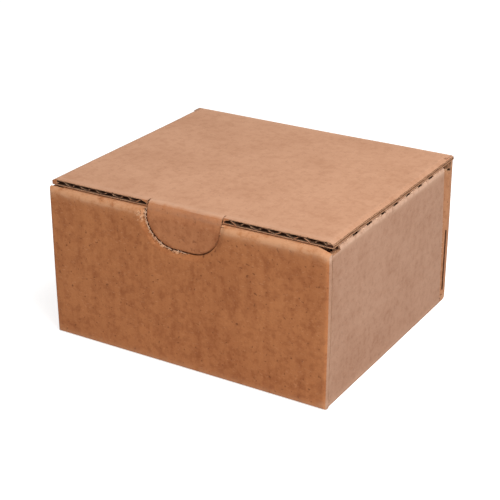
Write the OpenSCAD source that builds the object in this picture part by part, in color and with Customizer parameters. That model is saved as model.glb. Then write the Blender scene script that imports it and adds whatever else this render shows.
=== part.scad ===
// Small mailer box of brown corrugated board, folded from one die-cut sheet and shown closed.
// The tray has a rolled front wall, rolled side walls and a single back wall. The lid turns on
// the back wall's top crease, and its tongue drops behind the thumb notch in the front wall.
// The origin is the middle of the underside. The front faces -Y, +X is right and +Z is up.
// Sizes are in millimetres, and a place along the depth is counted from the front wall's face.

/* [Box] */
// Outer width, across the front wall
box_w = 106; // [96:1:160]
// Outer depth, from the front wall's face to the back wall's face
box_d = 94; // [86:1:150]
// Height of the walls, without the lid
wall_h = 54; // [46:1:100]

/* [Board] */
// Thickness of the corrugated board
board_t = 2; // [1.8:0.1:2.4]
// Thickness of each flat liner
liner_t = 0.3; // [0.2:0.05:0.35]
// Thickness of the fluted paper between the liners
medium_t = 0.25; // [0.2:0.05:0.35]
// Distance from one flute to the next
flute_pitch = 6.5; // [5.5:0.1:7.5]
// Air between layers of board that lie against each other
layer_gap = 0.3; // [0.2:0.05:0.5]

/* [Folds] */
// Outside radius of the creases round the bottom and at the back wall's top
crease_r = 1.2; // [0.8:0.1:1.6]
// Outside radius of the rolled top edges
roll_r = 1.8; // [1.2:0.1:1.8]
// Outside radius of the upright front corners
corner_r = 1.4; // [0.8:0.1:1.8]
// Length of each cut in the perforated creases of the side walls
cut_l = 3.8; // [3:0.1:6]
// Distance from one of these cuts to the next
cut_pitch = 9.5; // [8:0.1:12]
// Width that each cut opens to when the crease is folded
cut_open = 0.5; // [0.5:0.1:1.1]

/* [Lid] */
// Air between the walls' top edges and the lid
lid_gap = 0.3; // [0.25:0.05:0.6]
// How far the lid's raw front edge stands behind the tongue's face
raw_setback = 0.25; // [0.1:0.05:1.2]
// How far in from the lid's cut side edges the board is pressed down
pinch_w = 1.6; // [1:0.1:2.4]
// How much thinner those edges are pressed
pinch_h = 0.6; // [0.3:0.1:0.9]

/* [Tongue] */
// Width of the lid's tongue
tongue_w = 28; // [24:0.5:34]
// Length of the tongue below the lid
tongue_l = 17.5; // [16.5:0.1:19]
// Radius of the tongue's two lower corners
tongue_r = 8; // [5:0.5:10]
// How far the tongue leans into the box, in degrees from upright
tongue_lean = 4.5; // [4:0.5:7]
// Air round the tongue, at the edges of the notch and of the cut-out behind it
tongue_gap = 0.3; // [0.25:0.05:0.6]

/* [Thumb notch] */
// Depth of the notch below the front wall's top edge
notch_l = 12.2; // [11.2:0.1:13.5]
// Radius of the notch's two lower corners
notch_r = 11; // [7:0.5:11]

/* [Side walls] */
// Gap between the front wall's board and the outer side panels, at their foot
side_foot_gap = 0.3; // [0.3:0.1:1.2]
// The same gap at their top
side_head_gap = 0.7; // [0.7:0.1:2.5]
// How far the outer side panels are cut down beside the front wall
side_step = 1.8; // [1:0.1:3]
// Distance from the side walls' rear ends to the back wall's face, at their foot
side_rear_y = 5.4; // [5:0.1:7]
// The same distance at their top
side_rear_head_y = 8; // [7.5:0.1:10]
// Air between the front wall and the rolled side walls, and at the inner panels' rear ends
roll_end_gap = 0.6; // [0.4:0.1:1]

/* [Corner flaps] */
// Length of the four flaps that tuck into the side walls
flap_l = 34; // [24:1:38]
// Height lost at each edge of a flap towards its free end
flap_taper = 6; // [2:1:10]
// How far the back wall's ends stand in from the outer side panels' faces
rear_recess = 0.4; // [0.2:0.1:1]
// Top of the torn slit beside the back wall's crease
slit_top_z = 28; // [20:1:36]
// Bottom of that slit
slit_foot_z = 4.2; // [4:0.1:8]
// Width of that slit
slit_w = 1; // [0.8:0.1:1.4]

/* [Locking tabs] */
// Width of the tabs that lock the inner panels into the bottom
tab_w = 12; // [8:0.5:16]
// Distance of each tab from the middle of its panel
tab_offset = 20; // [14:0.5:24]

/* [Hidden] */

paper_colour = [0.74, 0.52, 0.35];
lid_colour = [0.80, 0.60, 0.43];
$fn = 64;
over = 1;

side_x = box_w / 2;
front_y = -box_d / 2;
back_y = box_d / 2;

// How much of the bottom each wall's own section takes in before its crease
foot_run = board_t / 2;

// A rolled wall is two panels with room for a third layer between them
roll_t = 3 * board_t + 2 * layer_gap;
spine_run = roll_t - 2 * board_t;
wall_run = wall_h - 2 * board_t;
inner_foot_z = board_t + layer_gap;
inner_run = wall_h - board_t - inner_foot_z;
front_roll_x = side_x - 2 * (board_t + layer_gap);

// Places of the side walls along the depth
side_roll_start = roll_t + roll_end_gap;
side_foot_y = board_t + side_foot_gap;
side_head_y = board_t + side_head_gap;
side_end = box_d - side_rear_y;
side_head_end = box_d - side_rear_head_y;
inner_end = box_d - board_t - roll_end_gap;
step_z = wall_h - side_step;
side_roll_l = side_head_end - side_roll_start;

// Corner flaps, in the gap between the outer and inner side panels
flap_x = side_x - 2 * board_t - layer_gap;
flap_top_z = wall_h - board_t - layer_gap;
rear_x = side_x - rear_recess;

lid_z = wall_h + lid_gap;
lid_top = lid_z + board_t;
notch_w = tongue_w + 2 * tongue_gap;
tongue_front = board_t + tongue_gap / 2;
lid_setback = tongue_front + raw_setback;
// The tongue's board is pressed a little thinner than its fold, and the fold runs on into it
pressed_t = 0.05;
fold_lap = 20;

// Corrugated section
air_h = board_t - 2 * liner_t;
wave_h = (air_h - medium_t) / 2;
nip_w = 0.12 * flute_pitch;
wave_points = 10;
edge_paper = 0.4;
flute_end = 2 * board_t;

// A panel's corner: board_t square, with the outside of the fold rounded
module fold_corner(r) {
    difference() {
        square(board_t);
        translate([board_t - r, -over]) difference() {
            square([r + over, r + over]);
            translate([0, r + over]) circle(r);
        }
    }
}

// Section of a folded sheet. It runs along +X on its outer face, and turns left after each run.
module folded_sheet(runs, radii, i = 0) {
    if (runs[i] > 0) square([runs[i], board_t]);
    if (i < len(radii)) translate([runs[i], 0]) {
        fold_corner(radii[i]);
        translate([board_t, board_t]) rotate(90) folded_sheet(runs, radii, i + 1);
    }
}

// A wall that stands up from the bottom's edge at the distance reach towards +X
module wall(reach, width, runs, radii) {
    rotate([90, 0, 0]) linear_extrude(width, center = true)
        translate([reach - board_t - foot_run, 0])
            folded_sheet(concat([foot_run], runs), radii);
}

// A shape with two round lower corners that hangs from the X axis and rises above it
module hanging_shape(w, l, r, rise = 0) {
    translate([-w / 2, r - l]) square([w, l - r + rise]);
    translate([r - w / 2, -l]) square([w - 2 * r, r]);
    for (s = [-1, 1]) translate([s * (w / 2 - r), r - l]) circle(r);
}

// A block given by its limits: across the width, along the depth from the front face, and in height
module block(x, y, z) {
    translate([x[0], front_y + y[0], z[0]])
        cube([x[1] - x[0], y[1] - y[0], z[1] - z[0]]);
}

// The same on both sides of the box
module both_sides() {
    children();
    mirror([1, 0, 0]) children();
}

// A flat piece on the right side, drawn along the depth and in height, from x to x + board_t
module side_piece(x) {
    translate([x, front_y, 0]) rotate([90, 0, 90]) linear_extrude(board_t) children();
}

// The air beside one trough of the fluted paper, up to the liner
function trough(x) = medium_t / 2 - wave_h * cos(360 * x / flute_pitch);
module flute_air() {
    half_w = flute_pitch / 2 - nip_w;
    step = 2 * half_w / wave_points;
    polygon(concat(
        [for (i = [0 : wave_points]) let (x = -half_w + i * step) [x, trough(x)]],
        [[half_w, air_h / 2], [-half_w, air_h / 2]]));
}

// The air along the flutes of a board between x0 and x1, alternately above and below the paper
module flutes_between(x0, x1) {
    half_w = flute_pitch / 2 - nip_w;
    start = x0 + edge_paper;
    end = x1 - edge_paper;
    first = ceil((start + nip_w - half_w) * 2 / flute_pitch);
    last = floor((end - nip_w + half_w) * 2 / flute_pitch);
    intersection() {
        union() for (i = [first : 1 : last]) translate([i * flute_pitch / 2, board_t / 2])
            mirror([0, i % 2 == 0 ? 0 : 1]) flute_air();
        translate([start, 0]) square([end - start, board_t]);
    }
}

module bottom_panel() {
    edge_x = side_x - layer_gap;
    difference() {
        block([-edge_x, edge_x], [board_t, box_d - board_t], [0, board_t]);
        both_sides() side_tabs(tab_w + 2 * layer_gap, layer_gap);
        front_tabs(tab_w + 2 * layer_gap, layer_gap);
    }
}

// Tabs at the foot of the inner panels. The same shapes, with air round them, are their slots.
module side_tabs(w, air) {
    mid_y = (side_roll_start + inner_end) / 2;
    for (s = [-1, 1])
        block([side_x - roll_t - air, side_x - roll_t + board_t + air],
              [mid_y + s * tab_offset - w / 2, mid_y + s * tab_offset + w / 2],
              [air > 0 ? -over : layer_gap, inner_foot_z + over]);
}
module front_tabs(w, air) {
    for (s = [-1, 1])
        block([s * tab_offset - w / 2, s * tab_offset + w / 2],
              [roll_t - board_t - air, roll_t + air],
              [air > 0 ? -over : layer_gap, inner_foot_z + over]);
}

module front_wall() {
    cut_out_l = wall_h - lid_z + tongue_l + 2 * tongue_gap;
    difference() {
        rotate([0, 0, -90])
            wall(box_d / 2, box_w, [wall_run, spine_run, inner_run], [crease_r, roll_r, roll_r]);
        // The roll stops short of the side walls
        both_sides() block([front_roll_x, side_x + over], [board_t, roll_t + over],
                           [board_t, wall_h + over]);
        // The upright corners are rounded
        both_sides() upright_rounding();
        // Thumb notch, through the outer panel and the roll
        translate([0, front_y + roll_t / 2, wall_h]) rotate([90, 0, 0])
            linear_extrude(roll_t + 2 * over)
                hanging_shape(notch_w, notch_l, notch_r, over);
        // Cut-out behind it, through the roll and the inner panel
        translate([0, front_y + roll_t + over, wall_h]) rotate([90, 0, 0])
            linear_extrude(roll_t + over - board_t)
                hanging_shape(notch_w, cut_out_l, tongue_r + tongue_gap, over);
    }
    front_tabs(tab_w, 0);
}

// What the front wall loses along one of its upright corners
module upright_rounding() {
    translate([side_x - corner_r, front_y + corner_r, -over])
        linear_extrude(wall_h + 2 * over)
            difference() {
                translate([0, -corner_r - over]) square(corner_r + over);
                circle(corner_r);
            }
}

module side_wall() {
    mid_y = front_y + (side_foot_y + inner_end) / 2;
    difference() {
        translate([0, mid_y, 0])
            wall(side_x, inner_end - side_foot_y, [wall_run, spine_run, inner_run],
                 [crease_r, roll_r, roll_r]);
        // Beside the front wall only the outer panel is left, cut down and with a sloping edge
        block([side_x - roll_t - over, side_x - board_t], [0, side_roll_start],
              [board_t, wall_h + over]);
        block([side_x - roll_t - over, side_x + over], [0, side_roll_start],
              [step_z, wall_h + over]);
        translate([0, front_y, 0]) rotate([90, 0, 90]) linear_extrude(side_x + over)
            polygon([[0, -over], [side_foot_y, -over], [side_foot_y, board_t],
                     [side_head_y, step_z], [side_head_y, wall_h + over], [0, wall_h + over]]);
        // At the rear the outer panel and the roll stop before the inner panel does, on a slope
        translate([side_x - roll_t + board_t, front_y, 0]) rotate([90, 0, 90])
            linear_extrude(roll_t)
                polygon([[side_end, -over], [side_end, board_t], [side_head_end, flap_top_z],
                         [side_head_end, wall_h + over], [box_d, wall_h + over], [box_d, -over]]);
        block([side_x - roll_t - over, side_x + over], [side_head_end, box_d],
              [flap_top_z, wall_h + over]);
        perforated_creases();
    }
    side_tabs(tab_w, 0);
}

// Rows of cuts that let the side wall's roll fold, open all the way through the board
module perforated_creases() {
    cuts = floor(side_roll_l / cut_pitch) - 1;
    mid_y = front_y + (side_roll_start + side_head_end) / 2;
    for (i = [0 : 1 : cuts - 1], x = [side_x, side_x - roll_t])
        translate([x, mid_y + (i - (cuts - 1) / 2) * cut_pitch, wall_h])
            rotate([0, x == side_x ? 45 : -45, 0])
                cube([cut_open, cut_l, 4 * board_t], center = true);
}

module back_wall() {
    rotate([0, 0, 90])
        wall(box_d / 2, 2 * rear_x, [wall_h - board_t - crease_r], [crease_r]);
    // Its top edge, rounded where the lid's crease starts
    rotate([90, 0, 90]) linear_extrude(2 * rear_x, center = true) {
        translate([back_y - board_t, wall_h - crease_r]) square([board_t - crease_r, crease_r]);
        translate([back_y - crease_r, wall_h - crease_r]) intersection() {
            circle(crease_r);
            square(crease_r);
        }
    }
}

// Outline of a corner flap, from the wall that carries it to its tapered end
module flap_outline(start, end) {
    polygon([[start, inner_foot_z], [start, flap_top_z],
             [end, flap_top_z - flap_taper], [end, inner_foot_z + flap_taper]]);
}

module corner_flaps() {
    root_y = side_end + layer_gap;
    side_piece(flap_x) flap_outline(board_t / 2, flap_l);
    difference() {
        union() {
            side_piece(flap_x) flap_outline(box_d - board_t, box_d - flap_l);
            // The flap's root leans out to the corner, where the side wall leaves it bare
            translate([0, front_y, inner_foot_z]) linear_extrude(flap_top_z - inner_foot_z)
                polygon([[flap_x, root_y], [flap_x + board_t, root_y],
                         [rear_x, box_d - board_t], [rear_x, box_d - board_t + over / 2],
                         [rear_x - board_t, box_d - board_t + over / 2]]);
        }
        // Torn slit along the crease
        block([flap_x - over, side_x],
              [box_d - board_t - slit_w / 2, box_d - board_t + slit_w / 2],
              [slit_foot_z, slit_top_z]);
    }
}

module tray() {
    color(paper_colour) {
        bottom_panel();
        front_wall();
        both_sides() side_wall();
        back_wall();
        both_sides() corner_flaps();
    }
}

// The lid's flat panel. Its rear edge is a quarter round, so that it clears the back wall.
module lid_panel() {
    rotate([90, 0, 90]) linear_extrude(box_w, center = true) {
        translate([front_y + lid_setback + board_t, lid_z])
            square([box_d - lid_setback - 2 * board_t, board_t]);
        translate([back_y - board_t, lid_z]) intersection() {
            circle(board_t);
            square(board_t);
        }
    }
    // Raw front edges, on both sides of the tongue
    both_sides() block([notch_w / 2, side_x], [lid_setback, lid_setback + board_t + foot_run],
                       [lid_z, lid_top]);
}

// What the cutting die presses off the lid along its side edges
module pinched_edges() {
    run = pinch_w + over;
    both_sides() translate([side_x - pinch_w, back_y + over, lid_top]) rotate([90, 0, 0])
        linear_extrude(box_d + 2 * over)
            polygon([[0, 0], [run, -pinch_h * run / pinch_w], [run, over], [0, over]]);
}

// Fold and flap of the tongue. The fold turns through a right angle and the lean.
module tongue() {
    translate([0, front_y + tongue_front + board_t, lid_z]) {
        rotate([90, 0, 90]) linear_extrude(tongue_w, center = true) {
            intersection() {
                circle(board_t);
                polygon([[0, 0], [0, 2 * board_t], [-2 * board_t, 2 * board_t],
                         [-2 * board_t, 0],
                         [-2 * board_t, -2 * board_t * tan(tongue_lean + fold_lap)]]);
            }
            // The lid's panel runs on to the fold
            square([raw_setback + foot_run, board_t]);
        }
        rotate([90 + tongue_lean, 0, 0]) difference() {
            linear_extrude(board_t - pressed_t)
                hanging_shape(tongue_w - 2 * pressed_t, tongue_l, tongue_r, board_t / 4);
            rotate([90, 0, 0]) translate([0, 0, flute_end])
                linear_extrude(tongue_l) flutes_between(-tongue_w / 2, tongue_w / 2);
        }
    }
}

module lid() {
    air_l = box_d - lid_setback - flute_end;
    color(lid_colour) {
        difference() {
            lid_panel();
            pinched_edges();
            // Open flutes, from the raw front edges to the crease at the back
            translate([0, back_y - flute_end, lid_z]) rotate([90, 0, 0])
                linear_extrude(air_l + over) {
                    flutes_between(notch_w / 2, side_x - pinch_w);
                    flutes_between(pinch_w - side_x, -notch_w / 2);
                }
        }
        tongue();
    }
}

tray();
lid();
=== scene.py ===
"""Looks of a small corrugated mailer box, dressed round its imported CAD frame.

The box is folded from one sheet of brown board: a tray with rolled walls, and a lid whose
tongue drops behind a thumb notch. Both CAD solids are copied, sliced finely and made uneven
like folded paper, and every face is sorted into a printed-side liner, an inside liner or a
raw cut edge. Lengths are in millimetres until a mesh is finished. The front faces -Y, +X is
right and +Z is up, with the origin in the middle of the underside.
"""

import logging
import math
from dataclasses import dataclass, replace
from enum import Enum, IntEnum
from typing import Any, Callable

import bmesh
import bpy
from mathutils import Matrix, Vector, noise


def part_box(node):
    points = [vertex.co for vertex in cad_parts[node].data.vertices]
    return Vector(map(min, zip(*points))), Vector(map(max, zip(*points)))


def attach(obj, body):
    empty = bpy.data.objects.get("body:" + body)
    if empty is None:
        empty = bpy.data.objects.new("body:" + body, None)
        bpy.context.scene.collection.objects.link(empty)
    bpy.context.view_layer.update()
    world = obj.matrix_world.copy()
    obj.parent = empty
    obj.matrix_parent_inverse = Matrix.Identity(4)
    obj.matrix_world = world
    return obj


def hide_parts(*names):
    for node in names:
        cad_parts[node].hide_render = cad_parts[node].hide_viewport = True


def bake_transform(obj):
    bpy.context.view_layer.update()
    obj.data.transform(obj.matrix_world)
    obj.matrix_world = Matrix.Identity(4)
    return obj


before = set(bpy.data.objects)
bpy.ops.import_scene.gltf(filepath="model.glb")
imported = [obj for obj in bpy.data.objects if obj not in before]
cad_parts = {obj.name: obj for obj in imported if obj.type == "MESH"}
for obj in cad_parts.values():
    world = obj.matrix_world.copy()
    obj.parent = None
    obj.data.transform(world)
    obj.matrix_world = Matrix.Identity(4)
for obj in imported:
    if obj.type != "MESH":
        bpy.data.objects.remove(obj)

MM = 0.001
NOISE_SEED = 1
LOG = logging.getLogger("mailer_box")

Point = tuple[float, float, float]
Colour = tuple[float, float, float, float]

# Near-black brown: the paper's own dark specks, and by default the painted shade in a cut edge's
# open flutes.
SPECK_AND_HOLLOW_SHADE: Colour = (0.05, 0.02, 0.01, 1.0)
# Near-black brown, painted as shade in small hollows and gaps along the torn notch rim.
RIM_PIT_SHADE: Colour = (0.09, 0.035, 0.015, 1.0)


def colour(red: float, green: float, blue: float) -> Colour:
    """Turns a colour as seen, in 0 to 255, into the linear one that a shader takes.

    Args:
        red: Red share.
        green: Green share.
        blue: Blue share.

    Returns:
        The linear colour with an alpha of one.
    """
    def linear(value: float) -> float:
        """One share of the colour, made linear."""
        part = value / 255
        return part / 12.92 if part <= 0.04045 else ((part + 0.055) / 1.055) ** 2.4

    return linear(red), linear(green), linear(blue), 1.0


class Axis(IntEnum):
    """An axis of the box's own frame."""

    X = 0
    Y = 1
    Z = 2


class Finish(Enum):
    """What a face of the board is finished with. The value is the material's name. The outer
    liner's finishes FRONT, SIDE, REAR, LID and TONGUE are one paper in lighter and darker tones,
    which paint light and shade by the way each panel faces.
    """

    FRONT = "kraft_front"
    SIDE = "kraft_side"
    REAR = "kraft_rear"
    LID = "kraft_lid"
    TONGUE = "kraft_tongue"
    UNDER = "kraft_under"
    INSIDE = "kraft_inside"
    FLUTE = "fluted_paper"
    CUT_ENDS = "cut_across_flutes"
    CUT_ALONG = "cut_along_flutes"
    RIM = "crushed_rim"
    TORN = "torn_fibre"


@dataclass(frozen=True)
class Board:
    """The corrugated board that the whole box is cut from."""

    thickness: float = 2.0
    liner: float = 0.3
    flute_pitch: float = 6.5
    layer_gap: float = 0.3
    crease_radius: float = 1.2
    roll_radius: float = 1.8
    corner_radius: float = 1.4

    @property
    def roll(self) -> float:
        """Thickness of a rolled wall: two panels, with room for a third layer."""
        return 3 * self.thickness + 2 * self.layer_gap


@dataclass(frozen=True)
class Box:
    """Limits of the folded box, read from the CAD frame."""

    board: Board
    side: float
    front: float
    back: float
    top: float
    lid_front: float
    lid_low: float
    lid_top: float
    rear_recess: float = 0.4
    notch_width: float = 28.6
    notch_depth: float = 12.2
    notch_radius: float = 11.0
    tongue_set: float = 2.15
    tongue_lean: float = math.radians(4.5)
    side_end: float = 88.6
    side_head_end: float = 86.0
    roll_start: float = 7.2
    cut_pitch: float = 9.5
    pinch: float = 1.6
    torn_width: float = 1.1
    tuft_side: float = 1.0
    tuft_drop: float = 2.6
    tuft_size: float = 3.4
    slit_low: float = 4.0
    slit_high: float = 29.0
    slit_width: float = 5.0

    @classmethod
    def from_frame(cls, board: Board) -> "Box":
        """Reads the limits of the tray and the lid.

        Args:
            board: The board's sizes.

        Returns:
            The box's limits in millimetres.
        """
        tray_low, tray_high = (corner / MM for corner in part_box("tray"))
        lid_low, lid_high = (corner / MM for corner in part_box("lid"))
        return cls(
            board=board, side=tray_high.x, front=tray_low.y, back=tray_high.y,
            top=tray_high.z, lid_front=lid_low.y,
            lid_low=lid_high.z - board.thickness, lid_top=lid_high.z,
        )

    @property
    def rear_side(self) -> float:
        """Half the width of the back wall."""
        return self.side - self.rear_recess

    def past_rim(self, point: Vector) -> float:
        """How far a point of the front lies outside the thumb notch's outline.

        Args:
            point: A point on the front wall or on the tongue.

        Returns:
            The distance in millimetres, below 0 inside the notch.
        """
        side = abs(point.x) - (self.notch_width / 2 - self.notch_radius)
        low = self.top - self.notch_depth + self.notch_radius - point.z
        corner = math.hypot(max(side, 0.0), max(low, 0.0))
        return corner + min(max(side, low), 0.0) - self.notch_radius

    def torn_rim(self, point: Vector) -> float:
        """How badly the paper is torn at a point of the notch's rim, from 0 to 1.

        The left and lower rim is torn, most of all at its upper left end, and so is a spot high
        on the right. The same share places near-black spots of painted shade in the torn paper's
        small hollows.

        Args:
            point: A point on the front wall.

        Returns:
            The share, 0 away from the rim.
        """
        near = smooth_step(abs(self.past_rim(point)), self.torn_width, 0.1)
        left = smooth_step(point.x, 5.0, -1.0)
        below_top = abs(self.top - 4 - point.z)
        spot = 0.8 * smooth_step(point.x, 12.0, 13.5) * smooth_step(below_top, 2.2, 0.6)
        start = Vector((-self.notch_width / 2 - self.tuft_side, point.y,
                        self.top - self.tuft_drop))
        tuft = smooth_step((point - start).length, self.tuft_size, 0.8)
        return max(near * max(left, spot), tuft)


@dataclass(frozen=True)
class Panel:
    """One flat panel of the sheet, as the block that it fills."""

    low: Point
    high: Point
    through: Axis
    across: Axis
    outward: int
    skin: Finish
    slack: float = 0.08
    facing: float = 0.9

    def holds(self, point: Vector) -> bool:
        """Whether a point lies in the panel or on it."""
        return all(self.low[a] - self.slack <= point[a] <= self.high[a] + self.slack
                   for a in Axis)

    def liner_side(self, point: Vector, normal: Vector) -> int:
        """Which liner a face belongs to.

        Args:
            point: The face's centre.
            normal: The face's normal.

        Returns:
            1 for the outer liner, -1 for the inner one and 0 for neither.
        """
        if abs(normal[self.through]) < self.facing:
            return 0
        limits = (self.low[self.through], self.high[self.through])
        if min(abs(point[self.through] - limit) for limit in limits) > 2 * self.slack:
            return 0
        return 1 if normal[self.through] * self.outward > 0 else -1

    @property
    def along(self) -> Axis:
        """The axis along the flutes."""
        return Axis(3 - self.through - self.across)

    def mirrored(self) -> "Panel":
        """The same panel on the box's other side."""
        return replace(
            self, low=(-self.high[0], self.low[1], self.low[2]),
            high=(-self.low[0], self.high[1], self.high[2]),
            outward=-self.outward if self.through == Axis.X else self.outward,
        )


@dataclass(frozen=True)
class Fold:
    """A rounded crease, as part of a cylinder along one axis."""

    along: Axis
    centre: tuple[float, float]
    radius: float
    skin: Finish
    wear_and_flute_shade: float = 1.0
    slack: float = 0.12
    # A fold can switch to another tone of the same paper once a face turns far enough, which paints
    # light and shade by facing.
    beyond: Finish | None = None
    toward: Axis = Axis.X
    turned: float = 0.6

    def spoke(self, point: Vector) -> Vector:
        """The part of a point's place that stands square to the fold's axis."""
        rest = [a for a in Axis if a != self.along]
        arm = Vector((0, 0, 0))
        arm[rest[0]] = point[rest[0]] - self.centre[0]
        arm[rest[1]] = point[rest[1]] - self.centre[1]
        return arm

    def holds(self, point: Vector, normal: Vector) -> bool:
        """Whether a face lies on the fold's rounding and faces away from its centre."""
        arm = self.spoke(point)
        if arm.length < 1e-6 or abs(arm.length - self.radius) > self.slack:
            return False
        return arm.normalized().dot(normal) > 0.85

    def finish_for(self, normal: Vector) -> Finish:
        """The fold's skin, or the finish beyond it where a face has turned that far: a lighter or
        darker tone of the same paper, as painted light and shade.
        """
        if self.beyond is not None and abs(normal[self.toward]) > self.turned:
            return self.beyond
        return self.skin

    def distance(self, point: Vector) -> float:
        """How far a point of a flat panel lies past the fold's rounding, 0 on the rounding."""
        reach = self.spoke(point).length
        return math.sqrt(max(0.0, reach * reach - self.radius * self.radius))

    def mirrored(self) -> "Fold":
        """The same fold on the box's other side."""
        centre = self.centre if self.along == Axis.X else (-self.centre[0], self.centre[1])
        return replace(self, centre=centre)


class Warp:
    """Slow unevenness of folded board, the same for every piece, so that gaps keep."""

    def __init__(self, box: Box, depth: float = 0.2, wavelength: float = 36.0) -> None:
        """Keeps the sizes of the unevenness.

        Args:
            box: The box's limits, which the warp never leaves.
            depth: How far a point may move to either side.
            wavelength: Distance over which the board wanders.
        """
        self.box = box
        self.depth = depth
        self.wavelength = wavelength

    def moved(self, point: Vector) -> Vector:
        """Where the warp takes a point.

        Args:
            point: A point of the box as drawn.

        Returns:
            The point on the folded box.
        """
        drift = noise.noise_vector(point / self.wavelength + Vector((7.1, 3.3, 5.9)))
        rise = min(1.0, max(0.0, point.z / 12))
        half_depth = (self.box.back - self.box.front) / 2
        mid_y = (self.box.back + self.box.front) / 2
        return point + self.depth * Vector((
            drift.x - point.x / self.box.side,
            drift.y - (point.y - mid_y) / half_depth,
            (drift.z - 1) * rise,
        ))

    def kept(self, point: Vector) -> Vector:
        """A point, brought back inside the box's limits if it lies past them."""
        box = self.box
        return Vector((min(max(point.x, -box.side), box.side),
                       min(max(point.y, box.front), box.back),
                       min(max(point.z, 0.0), box.lid_top)))


class Bench:
    """Adds and wires nodes in one node tree."""

    def __init__(self, tree: bpy.types.NodeTree) -> None:
        """Keeps the tree that the nodes go into."""
        self.tree = tree

    def add(self, kind: str, inputs: dict[Any, Any] | None = None,
            **settings: Any) -> bpy.types.Node:
        """Adds a node.

        Args:
            kind: Blender's name of the node type.
            inputs: Values for its inputs, or sockets to wire them to, by name or number.
            **settings: Values for the node's own settings.

        Returns:
            The node.
        """
        node = self.tree.nodes.new(kind)
        for name, value in settings.items():
            setattr(node, name, value)
        for key, value in (inputs or {}).items():
            if isinstance(value, bpy.types.NodeSocket):
                self.tree.links.new(value, node.inputs[key])
            else:
                node.inputs[key].default_value = value
        return node

    def maths(self, operation: str, first: Any, second: Any = 0.0,
              clamp: bool = False) -> bpy.types.NodeSocket:
        """Result of a Math node.

        Args:
            operation: Blender's name of the operation.
            first: First value or socket.
            second: Second value or socket.
            clamp: Whether the result stays between 0 and 1.

        Returns:
            The result's socket.
        """
        return self.add("ShaderNodeMath", {0: first, 1: second}, operation=operation,
                        use_clamp=clamp).outputs[0]

    def times(self, first: Any, second: Any) -> bpy.types.NodeSocket:
        """The product of two values or sockets."""
        return self.maths("MULTIPLY", first, second)

    def painted(self, name: str) -> bpy.types.NodeSocket:
        """The value of a mesh attribute, 0 where a piece has none."""
        return self.add("ShaderNodeAttribute", attribute_name=name).outputs["Fac"]

    def ramp(self, value: Any, start: float, end: float) -> bpy.types.NodeSocket:
        """A smooth step that rises from 0 at start to 1 at end."""
        return self.add("ShaderNodeMapRange",
                        {"Value": value, "From Min": start, "From Max": end},
                        interpolation_type="SMOOTHSTEP").outputs["Result"]

    def blend(self, share: Any, first: Any, second: Any) -> bpy.types.NodeSocket:
        """Mixes two colours by a share."""
        node = self.add("ShaderNodeMix", data_type="RGBA")
        for socket, value in ((node.inputs[0], share), (node.inputs[6], first),
                              (node.inputs[7], second)):
            if isinstance(value, bpy.types.NodeSocket):
                self.tree.links.new(value, socket)
            else:
                socket.default_value = value
        return node.outputs[2]

    def grain(self, place: Any, scale: float, detail: float = 3.0,
              stretch: Point = (1.0, 1.0, 1.0)) -> bpy.types.NodeSocket:
        """A noise pattern in millimetres.

        Args:
            place: Socket with the place in millimetres.
            scale: Patches for each millimetre.
            detail: Octaves of the noise.
            stretch: Scale along each axis, below 1 for longer patches.

        Returns:
            The pattern's socket, about 0.5 on average.
        """
        mapped = self.add("ShaderNodeMapping", {"Vector": place, "Scale": stretch})
        return self.add("ShaderNodeTexNoise",
                        {"Vector": mapped.outputs[0], "Scale": scale, "Detail": detail,
                         "Roughness": 0.6}).outputs["Fac"]


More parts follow.
